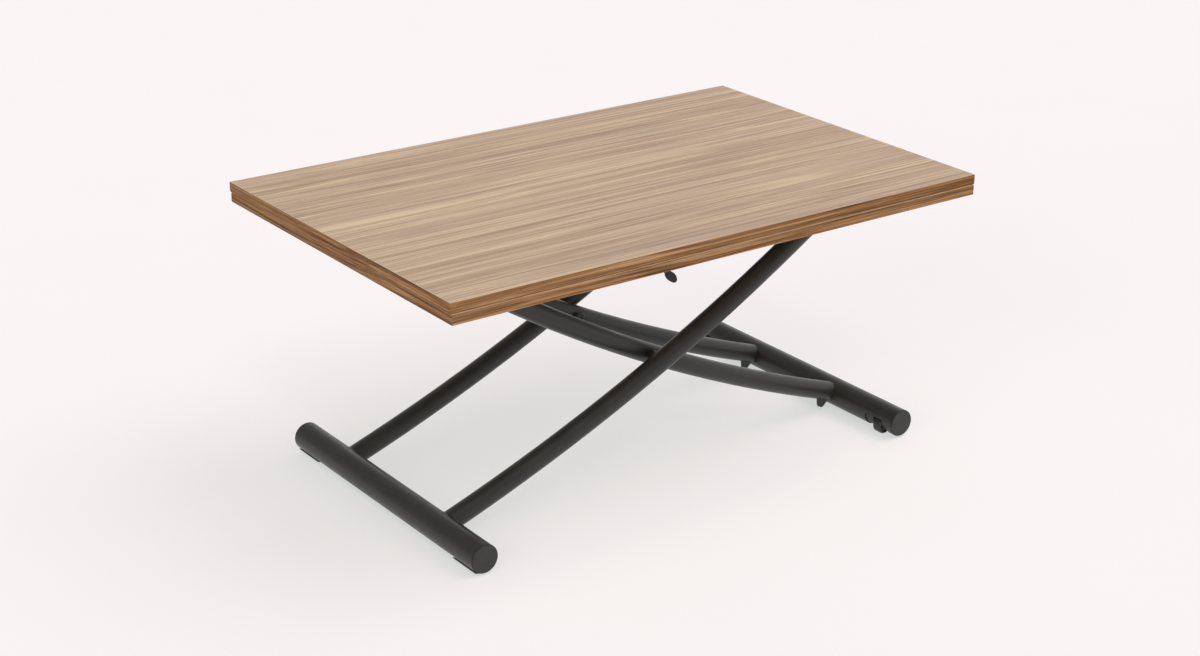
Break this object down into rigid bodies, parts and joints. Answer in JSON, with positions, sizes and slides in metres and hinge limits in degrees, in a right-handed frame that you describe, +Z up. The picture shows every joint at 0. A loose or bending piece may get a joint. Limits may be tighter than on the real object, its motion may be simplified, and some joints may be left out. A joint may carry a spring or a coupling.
{
  "type": "convertible coffee dining table",
  "caption": "Low wood-topped table on curved crossed tube legs: the scissor base lifts to dining height, and the top slides across and its upper leaf folds open to double the area.",
  "frame": {"origin": "on the floor under the middle of the folded top", "axes": "+X along the long side of the top towards the wheels, +Y across it away from the release lever, +Z up"},
  "size_m": [1.1, 0.7, 0.512],
  "materials": {
    "walnut_board": "satin",
    "walnut_edge": "satin",
    "dark_coat": "matte",
    "cap_plastic": "matte",
    "black_plastic": "satin",
    "glide_rubber": "matte",
    "wheel_plastic": "matte",
    "nylon": "satin",
    "plated_steel": "satin",
    "black_steel": "satin",
    "polished_rod": "polished",
    "cylinder_coat": "gloss",
    "hinge_metal": "satin"
  },
  "bodies": {
    "glide_feet": {"glide_front": "glide_rubber", "glide_rear": "glide_rubber"},
    "outer_legs": {"fixed_bar": "dark_coat", "fixed_bar_caps": "cap_plastic", "outer_leg_front": "dark_coat", "outer_leg_rear": "dark_coat", "outer_eye_front": "dark_coat", "outer_eye_rear": "dark_coat", "crossing_bosses": "dark_coat", "crossing_bolts": "black_steel"},
    "inner_legs": {"wheel_bar": "dark_coat", "wheel_bar_caps": "cap_plastic", "spigots": "dark_coat", "inner_leg_front": "dark_coat", "inner_leg_rear": "dark_coat", "inner_eye_front": "dark_coat", "inner_eye_rear": "dark_coat", "lock_knob_front": "cap_plastic", "lock_knob_rear": "cap_plastic", "crossing_sleeves": "dark_coat", "wheel_holder_front": "cap_plastic", "wheel_holder_rear": "cap_plastic", "wheel_axles": "plated_steel"},
    "front_wheel": {"wheel_front": "wheel_plastic"},
    "rear_wheel": {"wheel_rear": "wheel_plastic"},
    "top_frame": {"beam_front": "dark_coat", "beam_rear": "dark_coat", "rail_left": "dark_coat", "rail_right": "dark_coat", "rail_end_caps": "cap_plastic", "end_tie": "dark_coat", "spring_tie": "dark_coat", "pivot_shaft": "black_steel", "pivot_blocks": "nylon", "pivot_spacers": "black_steel", "pivot_clips": "black_steel", "gas_rod": "polished_rod", "gas_rod_nuts": "plated_steel", "lever_bearings": "nylon"},
    "slide_carriage": {"carriage_shaft": "black_steel", "carriage_blocks": "nylon", "carriage_spacers": "black_steel", "carriage_clips": "black_steel", "gas_cylinder": "cylinder_coat", "gas_spring_eye": "plated_steel"},
    "release_handle": {"lever_shaft": "black_steel", "lever_paddle": "black_plastic", "release_arm": "black_steel"},
    "release_plunger": {"release_pin": "plated_steel"},
    "lower_leaf": {"lower_board": "walnut_board", "lower_edge_band": "walnut_edge", "lower_hinge_blocks": "hinge_metal", "lower_hinge_pins": "hinge_metal", "slide_shoes": "nylon"},
    "link_set": {"hinge_links": "hinge_metal"},
    "upper_leaf": {"upper_board": "walnut_board", "upper_edge_band": "walnut_edge", "upper_hinge_blocks": "hinge_metal", "upper_hinge_pins": "hinge_metal"}
  },
  "joints": [
    {"name": "lift", "type": "hinge", "parent": "glide_feet", "child": "outer_legs", "pos_m": [-0.4525, 0, 0.0287], "axis": [0, -1, 0], "range_deg": [-8.4, 18.8]},
    {"name": "cross_pivot", "type": "hinge", "parent": "outer_legs", "child": "inner_legs", "pos_m": [0.009, 0, 0.21887], "axis": [0, -1, 0], "range_deg": [-38, 17]},
    {"name": "top_pivot", "type": "hinge", "parent": "inner_legs", "child": "top_frame", "pos_m": [-0.37809, 0, 0.4417], "axis": [0, -1, 0], "range_deg": [-8.5, 19]},
    {"name": "carriage_pivot", "type": "hinge", "parent": "outer_legs", "child": "slide_carriage", "pos_m": [0.39609, 0, 0.4417], "axis": [0, -1, 0], "range_deg": [-19, 8.5]},
    {"name": "front_wheel_spin", "type": "hinge", "parent": "inner_legs", "child": "front_wheel", "pos_m": [0.4595, -0.2515, 0.016], "axis": [0, 1, 0], "continuous": true},
    {"name": "rear_wheel_spin", "type": "hinge", "parent": "inner_legs", "child": "rear_wheel", "pos_m": [0.4595, 0.2515, 0.016], "axis": [0, 1, 0], "continuous": true},
    {"name": "top_slide", "type": "slide", "parent": "top_frame", "child": "lower_leaf", "axis": [0, -1, 0], "range_m": [0, 0.35]},
    {"name": "link_turn", "type": "hinge", "parent": "lower_leaf", "child": "link_set", "pos_m": [0, 0.3457, 0.4893], "axis": [-1, 0, 0], "range_deg": [0, 90]},
    {"name": "leaf_fold", "type": "hinge", "parent": "link_set", "child": "upper_leaf", "pos_m": [0, 0.3457, 0.4983], "axis": [-1, 0, 0], "range_deg": [0, 90]},
    {"name": "lever_turn", "type": "hinge", "parent": "top_frame", "child": "release_handle", "pos_m": [-0.11556, 0, 0.4657], "axis": [0, -1, 0], "range_deg": [0, 8.5], "stiffness_Nm_per_rad": 0.5, "springref_deg": -11.46},
    {"name": "pin_push", "type": "slide", "parent": "top_frame", "child": "release_plunger", "axis": [1, 0, 0], "range_m": [0, 0.0038]}
  ],
  "couplings": [
    {"joint": "cross_pivot", "follows": "lift", "ratio": -2},
    {"joint": "top_pivot", "follows": "lift", "ratio": 1},
    {"joint": "carriage_pivot", "follows": "lift", "ratio": -1},
    {"joint": "pin_push", "follows": "lever_turn", "m_per_rad": 0.024}
  ]
}
